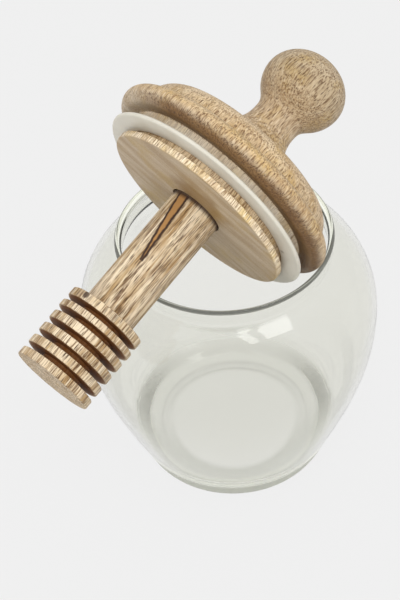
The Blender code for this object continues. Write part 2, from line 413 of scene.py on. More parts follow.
@dataclass(frozen=True)
class BlownGlass:
    """Soda-lime glass, mould-blown and fire-polished: clear through the wall, grey-green along it, with
    painted shade and a painted glow at the lip and the heel.

    Real soda-lime glass has an IOR of 1.52. A little less lets more light out of the thick heel.
    """

    name: str = "soda_glass_blown"
    ior: float = 1.45
    tint: str = "f8f8f4"
    # Painted shade: the lip's darker grey-green
    lip_shade_tint: str = "eceee4"
    # Tint of the thick heel, darkened further as painted shade
    heel_tint_and_shade: str = "b6b8aa"
    # Painted light: the colour that the lip and the heel glow in, though no lamp is there
    glow: str = "c9cabd"
    lip_painted_glow: float = 0.26
    heel_painted_glow: float = 0.2
    depth_tint: Colour = (0.45, 0.46, 0.27, 1.0)
    depth_density: float = 10.0
    wave_mm: float = 26.0
    wave_strength: float = 0.05
    wave_height: float = 0.8 * MM
    scuff: float = 0.5
    heel_scuff: float = 0.4
    heel_paint_plus_y_share: float = 0.14
    # Each pair is where a look starts to show and where it shows in full
    lip_heights: Point = (118.3 * MM, 119.6 * MM)
    heel_radii: Point = (37.5 * MM, 40.0 * MM)
    heel_heights: Point = (19.0 * MM, 13.0 * MM)
    heel_paint_towards_y: Point = (5.0 * MM, -26.0 * MM)
    upturn_radii: Point = (26.5 * MM, 30.0 * MM)
    underside_heights: Point = (5.0 * MM, 1.0 * MM)
    rubbed_heights: Point = (16.0 * MM, 9.0 * MM)
    inside_height: float = 3.0 * MM

    def heel_paint_masks(self, tree: Tree, place: Socket) -> tuple[Socket, Socket, Socket]:
        """Finds where the heel's tint, painted shade and painted glow go: the heel, and the floor where it
        turns up into the heel.

        Args:
            tree: the material's tree.
            place: the place on the object.

        Returns:
            How far out the place is, how much of the heel it is, and how much tint and painted shade the
            place takes.
        """
        height = add(tree, "ShaderNodeSeparateXYZ", {0: place}).outputs["Z"]
        flat = add(tree, "ShaderNodeVectorMath", {0: place, 1: (1.0, 1.0, 0.0)}, operation="MULTIPLY")
        radius = add(tree, "ShaderNodeVectorMath", {0: flat}, operation="LENGTH").outputs["Value"]
        outside = add(tree, "ShaderNodeMapRange", {
            "Value": radius, "From Min": self.heel_radii[0], "From Max": self.heel_radii[1]},
            interpolation_type="SMOOTHSTEP")
        low = add(tree, "ShaderNodeMapRange", {
            "Value": height, "From Min": self.heel_heights[0], "From Max": self.heel_heights[1]},
            interpolation_type="SMOOTHSTEP")
        # The heel's tint, painted shade and painted glow are strongest towards -Y
        towards_minus_y = add(tree, "ShaderNodeMapRange", {
            "Value": add(tree, "ShaderNodeSeparateXYZ", {0: place}).outputs["Y"],
            "From Min": self.heel_paint_towards_y[0], "From Max": self.heel_paint_towards_y[1],
            "To Min": self.heel_paint_plus_y_share},
            interpolation_type="SMOOTHSTEP")
        lower = add(tree, "ShaderNodeMath", {0: low, 1: towards_minus_y}, operation="MULTIPLY")
        heel = add(tree, "ShaderNodeMath", {0: outside, 1: lower}, operation="MULTIPLY")
        turning_up = add(tree, "ShaderNodeMapRange", {
            "Value": radius, "From Min": self.upturn_radii[0], "From Max": self.upturn_radii[1]},
            interpolation_type="SMOOTHSTEP")
        above = add(tree, "ShaderNodeMath", {0: height, 1: self.inside_height}, operation="GREATER_THAN")
        upturn = add(tree, "ShaderNodeMath", {0: turning_up, 1: above}, operation="MULTIPLY")
        upturned = add(tree, "ShaderNodeMath", {0: upturn, 1: lower}, operation="MULTIPLY")
        tint_and_shade = add(tree, "ShaderNodeMath", {0: upturned, 1: heel}, operation="MAXIMUM")
        return outside.outputs[0], heel.outputs[0], tint_and_shade.outputs[0]

    def scuffs(self, tree: Tree, height: Socket, outside: Socket) -> Socket:
        """Gives the roughness. Years of tables scuff the heel and the underside, which lets light out there.

        Args:
            tree: the material's tree.
            height: the height above the table.
            outside: how far out the place is.

        Returns:
            The roughness.
        """
        under = add(tree, "ShaderNodeMapRange", {
            "Value": height, "From Min": self.underside_heights[0], "From Max": self.underside_heights[1],
            "To Max": self.scuff})
        rubbed = add(tree, "ShaderNodeMapRange", {
            "Value": height, "From Min": self.rubbed_heights[0], "From Max": self.rubbed_heights[1],
            "To Max": self.heel_scuff})
        around = add(tree, "ShaderNodeMath", {0: rubbed, 1: outside}, operation="MULTIPLY")
        return add(tree, "ShaderNodeMath", {0: under, 1: around}, operation="MAXIMUM").outputs[0]

    def material(self) -> bpy.types.Material:
        """Makes the glass, with the faint waves that blowing leaves."""
        made = bpy.data.materials.new(self.name)
        made.use_nodes = True
        tree = made.node_tree
        tree.nodes.clear()
        place = add(tree, "ShaderNodeTexCoord").outputs["Object"]
        # A mould leaves waves a few centimetres long in a blown wall; they only bend the reflections a little
        waves = add(tree, "ShaderNodeTexNoise", {
            "Vector": place, "Scale": 1 / (self.wave_mm * MM), "Detail": 1.0})
        bump = add(tree, "ShaderNodeBump", {
            "Strength": self.wave_strength, "Distance": self.wave_height, "Height": waves})
        height = add(tree, "ShaderNodeSeparateXYZ", {0: place}).outputs["Z"]
        outside, heel, tint_and_shade = self.heel_paint_masks(tree, place)
        # Fire-polishing thickens the lip, and light that runs round inside it comes out dark grey-green; the
        # lip's darker tint is painted shade for it
        lip = add(tree, "ShaderNodeMapRange", {
            "Value": height, "From Min": self.lip_heights[0], "From Max": self.lip_heights[1]},
            interpolation_type="SMOOTHSTEP")
        # The heel is the thickest glass and holds more of the tint; its darker tint, strongest towards -Y, is
        # painted shade as well
        colour = srgb(self.tint)
        for share, over in ((lip, self.lip_shade_tint), (tint_and_shade, self.heel_tint_and_shade)):
            colour = add(tree, "ShaderNodeMix", {
                "Factor_Float": share, "A_Color": colour, "B_Color": srgb(over)}, data_type="RGBA").outputs[2]
        # Painted light: an emission at the lip and, less, at the heel stands for light that the wall carries
        # along
        lip_painted_light = add(tree, "ShaderNodeMath", {0: lip, 1: self.lip_painted_glow}, operation="MULTIPLY")
        painted_glow_strength = add(tree, "ShaderNodeMath", {0: heel, 1: self.heel_painted_glow, 2: lip_painted_light},
                      operation="MULTIPLY_ADD")
        shader = add(tree, "ShaderNodeBsdfPrincipled", {
            "Emission Color": srgb(self.glow), "Emission Strength": painted_glow_strength, "Base Color": colour,
            "Roughness": self.scuffs(tree, height, outside), "IOR": self.ior, "Transmission Weight": 1.0,
            "Normal": bump})
        depth = add(tree, "ShaderNodeVolumeAbsorption", {
            "Color": self.depth_tint, "Density": self.depth_density})
        add(tree, "ShaderNodeOutputMaterial", {"Surface": shader, "Volume": depth})
        return made


@dataclass(frozen=True)
class MangoWood:
    """Mango wood, turned on a lathe, sanded and lightly oiled: short dark pores in pale, mottled tan wood."""

    name: str
    place: Lean
    sheen: Sheen
    ring_angle: float = 29.5
    pale: str = "f2e8d6"
    body: str = "d3bfa1"
    dark: str = "80603b"
    pore: str = "573a20"
    yellow: str = "dfc684"
    pore_mm: Triple = (3.0, 0.52, 0.52)
    fibre_mm: Triple = (7.0, 0.56, 0.48)
    figure_mm: Triple = (60.0, 34.0, 5.0)
    fleck_mm: Triple = (4.5, 0.8, 0.7)
    fleck: str = "fff6e4"
    waver_mm: float = 2.6
    pore_depth: float = 0.8
    thread_depth: float = 0.8
    fleck_depth: float = 0.7
    yellowing: float = 0.6
    waver_every_mm: float = 20.0
    mottle_mm: float = 12.0
    relief: float = 0.25 * MM
    # Each pair is where a pattern's value starts to count as a mark and where it counts in full
    figure_span: Point = (0.36, 0.64)
    mottle_span: Point = (0.5, 0.68)
    thread_span: Point = (0.48, 0.6)
    fleck_span: Point = (0.52, 0.7)
    pore_edge: Point = (0.46, 0.18)
    pores_kept: Point = (0.25, 0.8)

    def scaled(self, tree: Tree, vector: Socket, size_mm: Triple) -> bpy.types.Node:
        """Stretches the pattern's space so that one unit is a mark's size.

        Args:
            tree: the material's tree.
            vector: the place in the piece's grain frame.
            size_mm: the mark's size along the grain, along the growth rings and across them.

        Returns:
            The node that gives the stretched place.
        """
        along, ring, across = (1 / (size * MM) for size in size_mm)
        return add(tree, "ShaderNodeVectorMath", {0: vector, 1: (along, across, ring)}, operation="MULTIPLY")

    def contrast(self, tree: Tree, local: Socket) -> Socket | float:
        """Says how strongly the fibres and pores show. Plain wood shows them alike all over.

        Args:
            tree: the material's tree, not used by plain wood.
            local: the place in the piece's own frame, not used by plain wood.

        Returns:
            A share from 0 to 1.
        """
        return 1.0

    def grain(self, tree: Tree, local: Socket) -> tuple[Socket, Socket]:
        """Lays the figure, fibres, flecks and pores of wood whose grain runs along the piece's axis.

        Args:
            tree: the material's tree.
            local: the place in the piece's own frame.

        Returns:
            The wood's colour, and its height for the bump.
        """
        shown = self.contrast(tree, local)
        laid = add(tree, "ShaderNodeMapping", {
            "Vector": local, "Rotation": (0.0, -math.radians(90), math.radians(self.ring_angle))},
            vector_type="TEXTURE")
        waver = add(tree, "ShaderNodeTexNoise", {
            "Vector": laid, "Scale": 1 / (self.waver_every_mm * MM), "Detail": 1.0})
        centred = add(tree, "ShaderNodeVectorMath", {0: waver.outputs["Color"], 1: (0.5, 0.5, 0.5)},
                      operation="SUBTRACT")
        shift = add(tree, "ShaderNodeVectorMath", {0: centred, "Scale": self.waver_mm * MM},
                    operation="SCALE")
        bent = add(tree, "ShaderNodeVectorMath", {0: laid, 1: shift}, operation="ADD").outputs[0]
        figure = add(tree, "ShaderNodeTexNoise", {
            "Vector": self.scaled(tree, bent, self.figure_mm), "Scale": 1.0, "Detail": 3.0, "Roughness": 0.6})
        fibre = add(tree, "ShaderNodeTexNoise", {
            "Vector": self.scaled(tree, bent, self.fibre_mm), "Scale": 1.0, "Detail": 3.0, "Roughness": 0.65})
        fleck = add(tree, "ShaderNodeTexNoise", {
            "Vector": self.scaled(tree, bent, self.fleck_mm), "Scale": 1.0, "Detail": 1.0})
        # Real pores are 0.2 mm wide, too fine for the render, so they are drawn as wide as one of its pixels
        cells = add(tree, "ShaderNodeTexVoronoi", {
            "Vector": self.scaled(tree, bent, self.pore_mm), "Scale": 1.0, "Randomness": 1.0})
        inside = add(tree, "ShaderNodeMapRange", {
            "Value": cells.outputs["Distance"], "From Min": self.pore_edge[0], "From Max": self.pore_edge[1]})
        kept = add(tree, "ShaderNodeSeparateColor", {0: cells.outputs["Color"]}).outputs["Red"]
        picked = add(tree, "ShaderNodeMapRange", {
            "Value": kept, "From Min": self.pores_kept[0], "From Max": self.pores_kept[1]})
        pores = add(tree, "ShaderNodeMath", {0: inside, 1: picked}, operation="MULTIPLY")
        mottle = add(tree, "ShaderNodeTexNoise", {
            "Vector": bent, "Scale": 1 / (self.mottle_mm * MM), "Detail": 3.0})

        tone = add(tree, "ShaderNodeMapRange", {
            "Value": figure, "From Min": self.figure_span[0], "From Max": self.figure_span[1]})
        patch = add(tree, "ShaderNodeMapRange", {
            "Value": mottle, "From Min": self.mottle_span[0], "From Max": self.mottle_span[1],
            "To Max": self.yellowing})
        thread = add(tree, "ShaderNodeMapRange", {
            "Value": fibre, "From Min": self.thread_span[0], "From Max": self.thread_span[1],
            "To Max": self.thread_depth})
        threads = add(tree, "ShaderNodeMath", {0: thread, 1: shown}, operation="MULTIPLY")
        gleam = add(tree, "ShaderNodeMapRange", {
            "Value": fleck, "From Min": self.fleck_span[0], "From Max": self.fleck_span[1],
            "To Max": self.fleck_depth})
        gleams = add(tree, "ShaderNodeMath", {0: gleam, 1: shown}, operation="MULTIPLY")
        deep = add(tree, "ShaderNodeMath", {0: pores, 1: self.pore_depth}, operation="MULTIPLY")
        deeper = add(tree, "ShaderNodeMath", {0: deep, 1: shown}, operation="MULTIPLY")
        colour = srgb(self.body)
        for share, over in ((tone, self.pale), (patch, self.yellow), (threads, self.dark),
                            (gleams, self.fleck), (deeper, self.pore)):
            colour = add(tree, "ShaderNodeMix", {
                "Factor_Float": share, "A_Color": colour, "B_Color": srgb(over)}, data_type="RGBA").outputs[2]
        ridge = add(tree, "ShaderNodeMath", {0: gleam, 1: deeper}, operation="SUBTRACT")
        return colour, ridge.outputs[0]

    def region(self, tree: Tree, local: Socket, wood: Socket) -> Socket:
        """Gives each part of the piece its own tone. Plain wood keeps the one it has.

        Args:
            tree: the material's tree, not used by plain wood.
            local: the place in the piece's own frame, not used by plain wood.
            wood: the colour so far.

        Returns:
            The toned colour.
        """
        return wood

    def material(self) -> bpy.types.Material:
        """Makes the wood."""
        made = bpy.data.materials.new(self.name)
        made.use_nodes = True
        tree = made.node_tree
        tree.nodes.clear()
        local = add(tree, "ShaderNodeMapping", {
            "Vector": add(tree, "ShaderNodeTexCoord").outputs["Object"],
            "Location": self.place.seat, "Rotation": tuple(self.place.turn())},
            vector_type="TEXTURE").outputs[0]
        wood, ridge = self.grain(tree, local)
        colour = self.region(tree, local, wood)
        smooth, open_grain = self.sheen.value
        rough = add(tree, "ShaderNodeMapRange", {
            "Value": ridge, "From Min": -0.8, "From Max": 0.6, "To Min": open_grain, "To Max": smooth})
        bump = add(tree, "ShaderNodeBump", {"Strength": 0.5, "Distance": self.relief, "Height": ridge})
        shader = add(tree, "ShaderNodeBsdfPrincipled", {
            "Base Color": colour, "Roughness": rough, "IOR": 1.46, "Normal": bump})
        add(tree, "ShaderNodeOutputMaterial", {"Surface": shader})
        return made


@dataclass(frozen=True)
class LidWood(MangoWood):
    """The lid's mango wood, toned by height: painted light lifts the shade on the plug's side, in the groove
    and on the band by the seal, and painted shade darkens the cove under the bead.
    """

    # Painted light: the plug's side, the groove and the band by the seal are toned pale to lift the shade
    # they lie in
    tones_and_painted_light: tuple[tuple[float, str], ...] = (
        (-1.0, "d2c6b6"), (0.15, "cbbfae"), (0.4, "fffaf0"), (2.8, "fff8ea"), (3.2, "e8dac4"),
        (8.6, "e8dac4"), (9.2, "ffffff"), (14.0, "fff9ee"), (16.8, "e4d3b8"), (18.0, "e0ceb0"),
        (20.3, "d8c7aa"), (22.0, "e2d3ba"), (31.0, "e0d1ba"), (34.0, "d8cab6"), (48.0, "d9ccba"),
        (56.0, "cdbfaa"), (66.0, "c4b7a2"), (84.0, "ccc0ae"))
    # Painted shade: the dark brown of the cove under the bead
    hollow_shade: str = "785820"
    patch: str = "87683c"
    patch_at_mm: Triple = (-7.0, 13.0, 0.0)
    patch_reach: Point = (25 * MM, 15 * MM)
    patch_depth: float = 0.74
    patch_grain: float = 9 * MM
    patch_raggedness: float = 16 * MM
    face_height: float = 0.3 * MM
    face_edge: Point = (0.1 * MM, 0.5 * MM)
    face_contrast: float = 0.22
    band_middle: float = 10.7 * MM
    band_half: float = 1.6 * MM
    band_contrast: float = 0.5
    # Each pair is where the painted shade under the bead starts to show and where it shows in full
    hollow_radii: Point = (41.9 * MM, 42.6 * MM)
    hollow_heights: Point = (17.6 * MM, 13.0 * MM)
    hollow_floor: float = 9.5 * MM
    hollow_shade_depth: float = 0.95
    shade_fade_x: Point = (36.0 * MM, 4.0 * MM)
    shade_fade_share: float = 0.4

    def contrast(self, tree: Tree, local: Socket) -> Socket | float:
        """Says how strongly the fibres and pores show: less on the plug's face and the band by the seal.

        Args:
            tree: the material's tree.
            local: the place in the lid's own frame.

        Returns:
            A share from 0 to 1.
        """
        height = add(tree, "ShaderNodeSeparateXYZ", {0: local}).outputs["Z"]
        off_face = add(tree, "ShaderNodeMapRange", {
            "Value": height, "From Min": self.face_edge[0], "From Max": self.face_edge[1],
            "To Min": self.face_contrast, "To Max": 1.0})
        on_band = add(tree, "ShaderNodeMath", {0: height, 1: self.band_middle, 2: self.band_half},
                      operation="COMPARE")
        fainter = add(tree, "ShaderNodeMath", {0: on_band, 1: self.band_contrast - 1.0, 2: 1.0},
                      operation="MULTIPLY_ADD")
        return add(tree, "ShaderNodeMath", {0: off_face, 1: fainter}, operation="MULTIPLY").outputs[0]

    def region(self, tree: Tree, local: Socket, wood: Socket) -> Socket:
        """Tones the lid by height: its plug, groove, cove, bead, dome, neck and knob. The pale tones on the
        plug's side, in the groove and on the band by the seal are painted light that lifts their shade.

        Args:
            tree: the material's tree.
            local: the place in the lid's own frame.
            wood: the colour so far.

        Returns:
            The toned colour.
        """
        low, high = self.tones_and_painted_light[0][0], self.tones_and_painted_light[-1][0]
        height = add(tree, "ShaderNodeSeparateXYZ", {0: local}).outputs["Z"]
        share = add(tree, "ShaderNodeMapRange", {
            "Value": height, "From Min": low * MM, "From Max": high * MM})
        tone = ramp(add(tree, "ShaderNodeValToRGB", {"Fac": share}),
                    [((at - low) / (high - low), srgb(code)) for at, code in self.tones_and_painted_light])
        toned = add(tree, "ShaderNodeMix", {
            "Factor_Float": 1.0, "A_Color": wood, "B_Color": tone.outputs["Color"]},
            data_type="RGBA", blend_type="MULTIPLY").outputs[2]
        # Painted shade in the cove under the bead, fainter towards +X in the lid's frame
        flat = add(tree, "ShaderNodeVectorMath", {0: local, 1: (1.0, 1.0, 0.0)}, operation="MULTIPLY")
        radius = add(tree, "ShaderNodeVectorMath", {0: flat}, operation="LENGTH").outputs["Value"]
        outer = add(tree, "ShaderNodeMapRange", {
            "Value": radius, "From Min": self.hollow_radii[0], "From Max": self.hollow_radii[1]},
            interpolation_type="SMOOTHSTEP")
        under = add(tree, "ShaderNodeMapRange", {
            "Value": height, "From Min": self.hollow_heights[0], "From Max": self.hollow_heights[1],
            "To Max": self.hollow_shade_depth},
            interpolation_type="SMOOTHSTEP")
        above = add(tree, "ShaderNodeMath", {0: height, 1: self.hollow_floor}, operation="GREATER_THAN")
        aside = add(tree, "ShaderNodeSeparateXYZ", {0: local}).outputs["X"]
        side_fade = add(tree, "ShaderNodeMapRange", {
            "Value": aside, "From Min": self.shade_fade_x[0], "From Max": self.shade_fade_x[1],
            "To Min": self.shade_fade_share},
            interpolation_type="SMOOTHSTEP")
        outer_shade = add(tree, "ShaderNodeMath", {0: outer, 1: side_fade}, operation="MULTIPLY")
        under_bead_shade = add(tree, "ShaderNodeMath", {0: outer_shade, 1: under}, operation="MULTIPLY")
        # The share of the painted shade, above the groove
        held = add(tree, "ShaderNodeMath", {0: under_bead_shade, 1: above}, operation="MULTIPLY")
        toned = add(tree, "ShaderNodeMix", {
            "Factor_Float": held, "A_Color": toned, "B_Color": srgb(self.hollow_shade)},
            data_type="RGBA", blend_type="MULTIPLY").outputs[2]
        # A brown patch of heartwood lies across the plug's face, beside the dipper
        away = add(tree, "ShaderNodeVectorMath", {0: local, 1: tuple(v * MM for v in self.patch_at_mm)},
                   operation="DISTANCE").outputs["Value"]
        edge = add(tree, "ShaderNodeTexNoise", {
            "Vector": local, "Scale": 1 / self.patch_grain, "Detail": 3.0})
        ragged = add(tree, "ShaderNodeMath", {0: edge, 1: self.patch_raggedness, 2: away},
                     operation="MULTIPLY_ADD")
        near = add(tree, "ShaderNodeMapRange", {
            "Value": ragged, "From Min": self.patch_reach[0], "From Max": self.patch_reach[1],
            "To Max": self.patch_depth}, interpolation_type="SMOOTHSTEP")
        face = add(tree, "ShaderNodeMath", {0: height, 1: self.face_height}, operation="LESS_THAN")
        covered = add(tree, "ShaderNodeMath", {0: near, 1: face}, operation="MULTIPLY")
        return add(tree, "ShaderNodeMix", {
            "Factor_Float": covered, "A_Color": toned, "B_Color": srgb(self.patch)},
            data_type="RGBA").outputs[2]


@dataclass(frozen=True)
class DipperWood(MangoWood):
    """The dipper's mango wood: bare, with long dark pores, a brown inbark wedge and painted shade in the
    slots between the discs.
    """

    rod_radius: float = 11.1 * MM
    wedge_length: float = 26 * MM
    wedge_left: Point = (69.0, 27.0)
    wedge_right: Point = (93.0, 10.0)
    wedge: str = "a87c48"
    wedge_edge: str = "3a2417"
    # Painted shade: the warm dark brown in the slots between the discs
    slot: str = "864e0e"
    knot_at_mm: Triple = (2.6, 16.8, -56.0)
    knot_mm: float = 1.9
    knot_depth: float = 0.85
    wedge_grain: float = 2.5 * MM
    wedge_wander: float = 0.9 * MM
    wedge_line: Point = (0.75 * MM, 0.3 * MM)
    wedge_end: float = 1.22
    # Each pair is where a colour starts to show and where it shows in full
    burn_heights: Point = (-2.0 * MM, -0.4 * MM)
    burn_depth: float = 0.92
    slot_radii: Point = (16.6 * MM, 15.6 * MM)
    slot_shade_depth: float = 0.9
    head_heights: Point = (-54.4 * MM, -54.8 * MM)
    tip_heights: Point = (-88.1 * MM, -87.7 * MM)

    def region(self, tree: Tree, local: Socket, wood: Socket) -> Socket:
        """Adds the wedge of bark that the rod grew round, its dark edge, and the painted shade in the slots.

        Args:
            tree: the material's tree.
            local: the place in the dipper's own frame.
            wood: the colour so far.

        Returns:
            The toned colour.
        """
        parts = add(tree, "ShaderNodeSeparateXYZ", {0: local}).outputs
        along = add(tree, "ShaderNodeMath", {0: parts["Z"], 1: -self.wedge_length}, operation="DIVIDE")
        angle = add(tree, "ShaderNodeMath", {0: parts["Y"], 1: parts["X"]}, operation="ARCTAN2")
        sides = []
        for (start, growth), sign in ((self.wedge_left, 1.0), (self.wedge_right, -1.0)):
            edge = add(tree, "ShaderNodeMath", {0: along, 1: math.radians(growth), 2: math.radians(start)},
                       operation="MULTIPLY_ADD")
            gap = add(tree, "ShaderNodeMath", {0: angle, 1: edge}, operation="SUBTRACT")
            sides.append(add(tree, "ShaderNodeMath", {0: gap, 1: sign * self.rod_radius},
                             operation="MULTIPLY"))
        inside = add(tree, "ShaderNodeMath", {0: sides[0], 1: sides[1]}, operation="MINIMUM")
        ragged = add(tree, "ShaderNodeTexNoise", {
            "Vector": local, "Scale": 1 / self.wedge_grain, "Detail": 2.0})
        wander = add(tree, "ShaderNodeMath", {
            0: ragged, 1: self.wedge_wander, 2: -self.wedge_wander / 2}, operation="MULTIPLY_ADD")
        reach = add(tree, "ShaderNodeMath", {0: inside, 1: wander}, operation="ADD")
        filled = add(tree, "ShaderNodeMapRange", {
            "Value": reach, "From Min": 0.0, "From Max": self.wedge_line[1]})
        near = add(tree, "ShaderNodeMath", {0: reach}, operation="ABSOLUTE")
        line = add(tree, "ShaderNodeMapRange", {
            "Value": near, "From Min": self.wedge_line[0], "From Max": self.wedge_line[1]})
        started = add(tree, "ShaderNodeMath", {0: along, 1: 0.0}, operation="GREATER_THAN")
        ended = add(tree, "ShaderNodeMath", {0: along, 1: self.wedge_end}, operation="LESS_THAN")
        within = add(tree, "ShaderNodeMath", {0: started, 1: ended}, operation="MULTIPLY")
        fill = add(tree, "ShaderNodeMath", {0: filled, 1: within}, operation="MULTIPLY")
        outline = add(tree, "ShaderNodeMath", {0: line, 1: within}, operation="MULTIPLY")
        # Hot glue and the parting cut leave a dark line where the rod leaves the plug
        burn = add(tree, "ShaderNodeMapRange", {
            "Value": parts["Z"], "From Min": self.burn_heights[0], "From Max": self.burn_heights[1],
            "To Max": self.burn_depth})
        flat = add(tree, "ShaderNodeCombineXYZ", {"X": parts["X"], "Y": parts["Y"]})
        radius = add(tree, "ShaderNodeVectorMath", {0: flat}, operation="LENGTH").outputs["Value"]
        # Painted shade: the slots between the discs are darkened to brown
        deep = add(tree, "ShaderNodeMapRange", {
            "Value": radius, "From Min": self.slot_radii[0], "From Max": self.slot_radii[1],
            "To Max": self.slot_shade_depth})
        head = add(tree, "ShaderNodeMapRange", {
            "Value": parts["Z"], "From Min": self.head_heights[0], "From Max": self.head_heights[1]})
        tip = add(tree, "ShaderNodeMapRange", {
            "Value": parts["Z"], "From Min": self.tip_heights[0], "From Max": self.tip_heights[1]})
        slot_shade_share = add(tree, "ShaderNodeMath", {0: deep, 1: head}, operation="MULTIPLY")
        slot_shaded = add(tree, "ShaderNodeMath", {0: slot_shade_share, 1: tip}, operation="MULTIPLY")
        # A pin knot shows on the edge of the disc nearest the lid
        away = add(tree, "ShaderNodeVectorMath", {0: local, 1: tuple(v * MM for v in self.knot_at_mm)},
                   operation="DISTANCE").outputs["Value"]
        knot = add(tree, "ShaderNodeMapRange", {
            "Value": away, "From Min": self.knot_mm * MM, "From Max": 0.6 * self.knot_mm * MM,
            "To Max": self.knot_depth})
        for share, over in ((fill, self.wedge), (outline, self.wedge_edge), (burn, self.wedge_edge),
                            (slot_shaded, self.slot), (knot, self.wedge_edge)):
            wood = add(tree, "ShaderNodeMix", {
                "Factor_Float": share, "A_Color": wood, "B_Color": srgb(over)}, data_type="RGBA").outputs[2]
        return wood


@dataclass(frozen=True)
class MouldedSilicone:
    """Silicone rubber, moulded: milky, a little clear at its edge, with a satin skin."""

    place: Lean
    name: str = "silicone_moulded"
    colour: str = "c8c2b3"
    cloudy: str = "d8d4c8"
    gate: str = "8f8878"
    gate_at_mm: Triple = (-40.6, -2.7, 4.9)
    gate_reach: Point = (1.3 * MM, 0.5 * MM)
    gate_depth: float = 0.7
    cloud_mm: float = 9.0
    roughness: Point = (0.34, 0.48)
    glow_depth: float = 1.2 * MM

    def material(self) -> bpy.types.Material:
        """Makes the silicone, a little cloudy."""
        made = bpy.data.materials.new(self.name)
        made.use_nodes = True
        tree = made.node_tree
        tree.nodes.clear()
        place = add(tree, "ShaderNodeTexCoord").outputs["Object"]
        cloud = add(tree, "ShaderNodeTexNoise", {
            "Vector": place, "Scale": 1 / (self.cloud_mm * MM), "Detail": 3.0})
        colour = add(tree, "ShaderNodeMix", {
            "Factor_Float": cloud, "A_Color": srgb(self.colour), "B_Color": srgb(self.cloudy)},
            data_type="RGBA")
        # The mould's gate leaves one small mark on the ring's face
        gate = self.place.matrix() @ (Vector(self.gate_at_mm) * MM)
        away = add(tree, "ShaderNodeVectorMath", {0: place, 1: tuple(gate)},
                   operation="DISTANCE").outputs["Value"]
        mark = add(tree, "ShaderNodeMapRange", {
            "Value": away, "From Min": self.gate_reach[0], "From Max": self.gate_reach[1],
            "To Max": self.gate_depth})
        colour = add(tree, "ShaderNodeMix", {
            "Factor_Float": mark, "A_Color": colour.outputs[2], "B_Color": srgb(self.gate)}, data_type="RGBA")
        rough = add(tree, "ShaderNodeMapRange", {
            "Value": cloud, "To Min": self.roughness[0], "To Max": self.roughness[1]})
        shader = add(tree, "ShaderNodeBsdfPrincipled", {
            "Base Color": colour.outputs[2], "Roughness": rough, "IOR": 1.41, "Subsurface Weight": 0.35,
            "Subsurface Radius": (1.0, 0.95, 0.85), "Subsurface Scale": self.glow_depth})
        add(tree, "ShaderNodeOutputMaterial", {"Surface": shader})
        return made


@dataclass(frozen=True)
class StudioPaper:
    """A pale paper sweep, lit so evenly that it reads as one light grey."""

    name: str = "studio_paper"
    colour: str = "f0f0f0"
    own_light: float = 0.945
    bounce: float = 0.04

    def material(self) -> bpy.types.Material:
        """Makes the paper, part of whose light is its own so that shadows on it stay faint."""
        made = bpy.data.materials.new(self.name)
        made.use_nodes = True
        tree = made.node_tree
        tree.nodes.clear()
        glow = add(tree, "ShaderNodeEmission", {"Color": srgb(self.colour), "Strength": self.own_light})
        matt = add(tree, "ShaderNodeBsdfDiffuse", {"Color": (self.bounce, self.bounce, self.bounce, 1.0)})
        both = add(tree, "ShaderNodeAddShader", {0: glow, 1: matt})
        add(tree, "ShaderNodeOutputMaterial", {"Surface": both})
        return made


@dataclass
class TurnedPiece:
    """What every turned piece of the jar has: a name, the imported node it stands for, and its place."""

    name: str
    node: str
    slot: str
    place: Lean
    steps: int = 160

    def finish(self, piece: Piece) -> Piece:
        """Puts a made piece on its body, in its node's stead.

        Args:
            piece: the made piece.

        Returns:
            The same piece.
        """
        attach(piece, "root")
        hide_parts(self.node)
        return piece

    def sizes(self, material: bpy.types.Material) -> dict[str, object]:
        """Gives the values that every turned piece hands to its tree."""
        return {"Steps round": self.steps, "Hub radius": HUB_RADIUS, "Weld distance": WELD_DISTANCE,
                "Finish": material}


